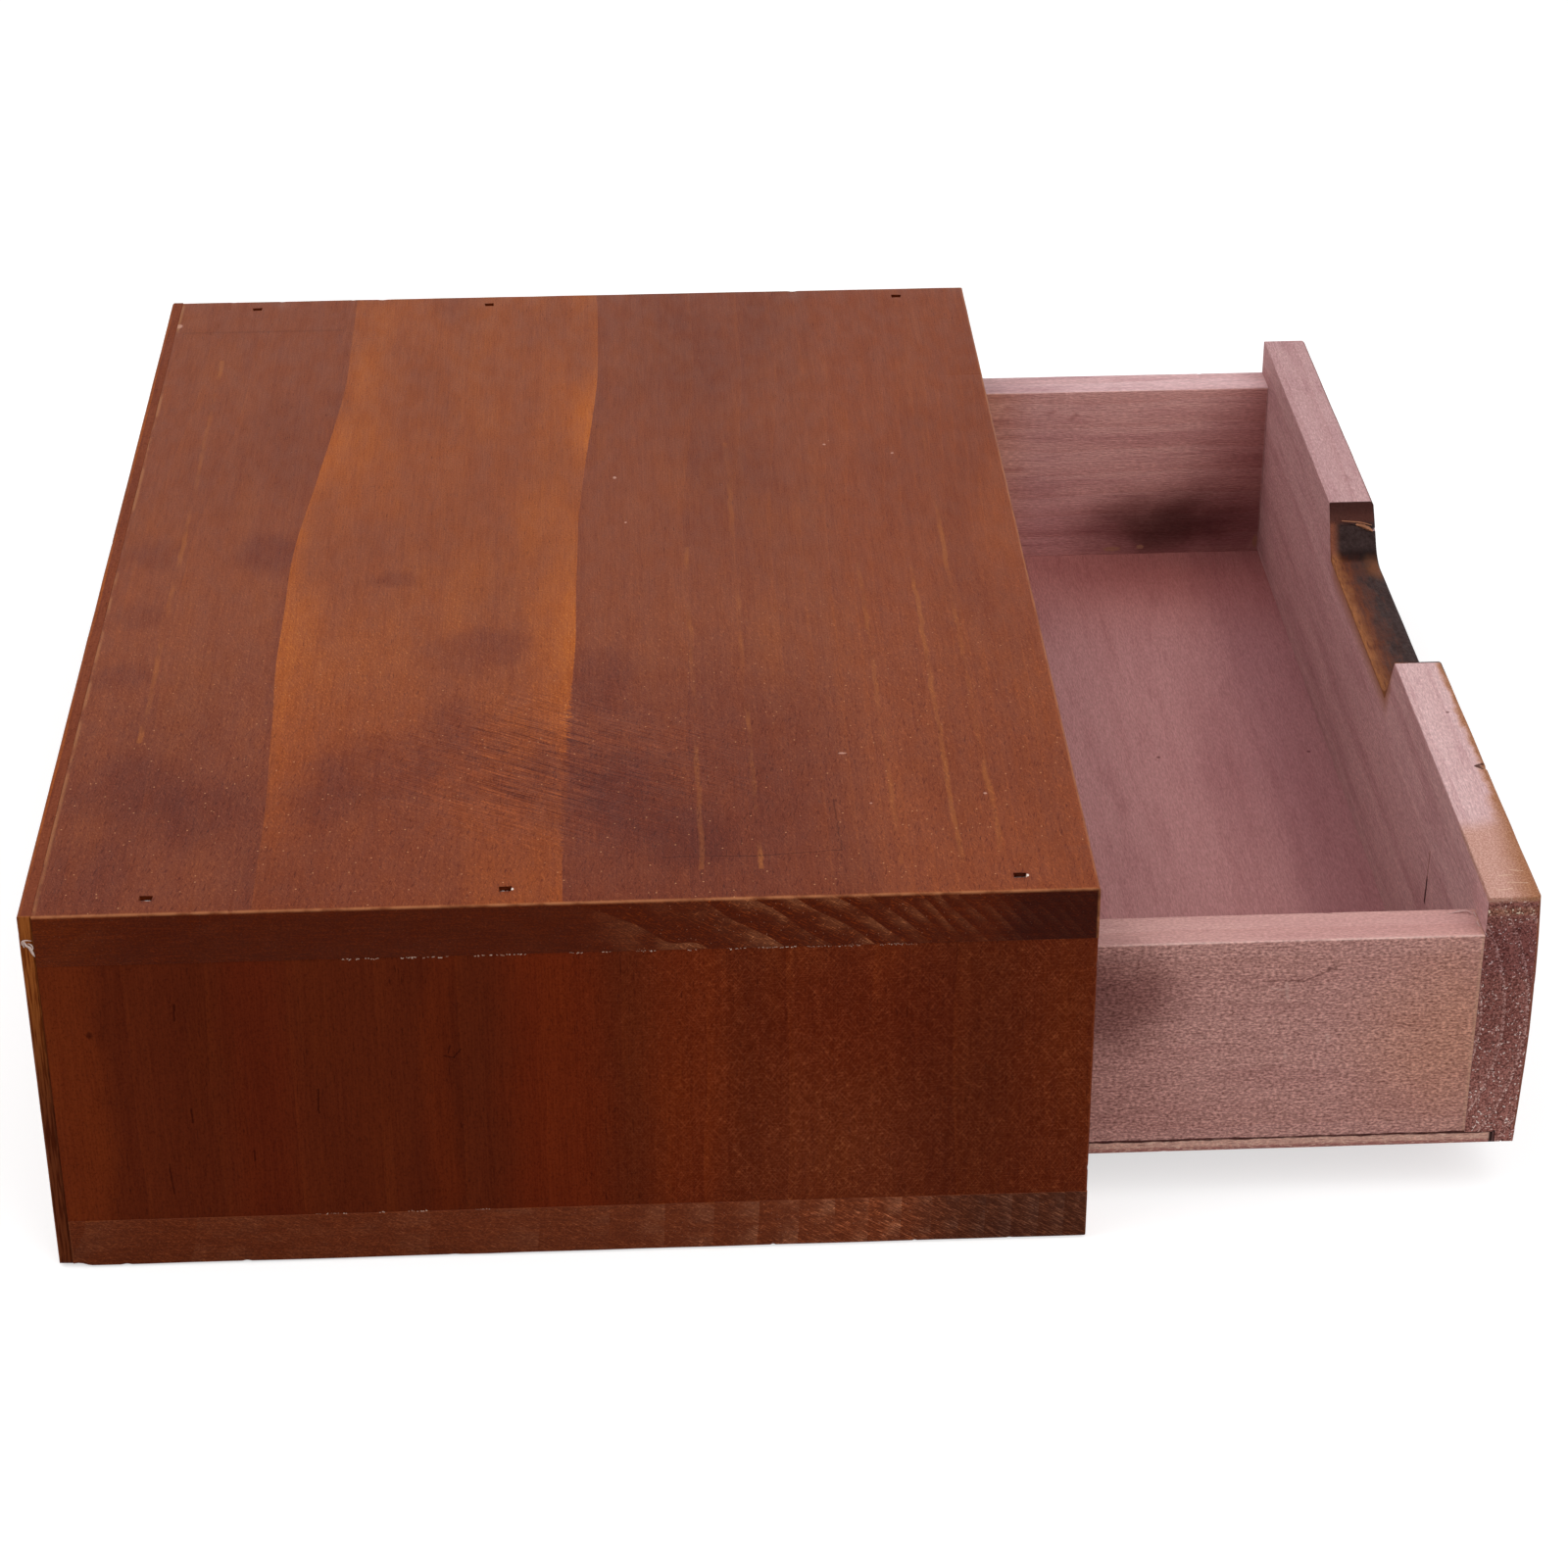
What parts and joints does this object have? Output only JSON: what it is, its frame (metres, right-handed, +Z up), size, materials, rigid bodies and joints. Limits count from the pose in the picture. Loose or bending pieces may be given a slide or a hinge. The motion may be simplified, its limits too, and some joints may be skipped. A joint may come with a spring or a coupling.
{
  "type": "desktop drawer organizer",
  "caption": "Low wooden desktop case, nailed from boards and open at the front, with a full-width sliding drawer that is opened by a finger notch.",
  "frame": {"origin": "middle of the case's bottom face, on the surface that it stands on", "axes": "+Z up; -Y is the front, where the drawer comes out; +X is the right side as seen from the front"},
  "size_m": [0.324, 0.3159, 0.088],
  "materials": {
    "stained_wood": "softwood with a translucent reddish-brown stain, satin, thin enough for the grain to show",
    "back_sheet": "thin sheet with the same stain, its cut edge a lighter golden brown",
    "drawer_wood": "bare, matt softwood with a dusty pink cast",
    "drawer_sheet": "bare, matt thin sheet with a dusty pink cast and very fine grain",
    "brad_steel": "bright steel brads, dulled by the stain"
  },
  "bodies": {
    "case": {"top_board": "stained_wood", "bottom_board": "stained_wood", "left_side_panel": "stained_wood", "right_side_panel": "stained_wood", "back_panel": "back_sheet", "top_left_brads": "brad_steel", "top_right_brads": "brad_steel", "bottom_left_brads": "brad_steel", "bottom_right_brads": "brad_steel", "back_panel_brads": "brad_steel"},
    "drawer": {"drawer_front": "drawer_wood", "drawer_left_side": "drawer_wood", "drawer_right_side": "drawer_wood", "drawer_back": "drawer_wood", "drawer_bottom": "drawer_sheet", "drawer_front_left_brads": "brad_steel", "drawer_front_right_brads": "brad_steel", "drawer_back_left_brads": "brad_steel", "drawer_back_right_brads": "brad_steel", "drawer_bottom_brads": "brad_steel"}
  },
  "joints": [
    {"name": "drawer_slide", "type": "slide", "parent": "case", "child": "drawer", "axis": [0, -1, 0], "range_m": [-0.0959, 0.0691]}
  ]
}
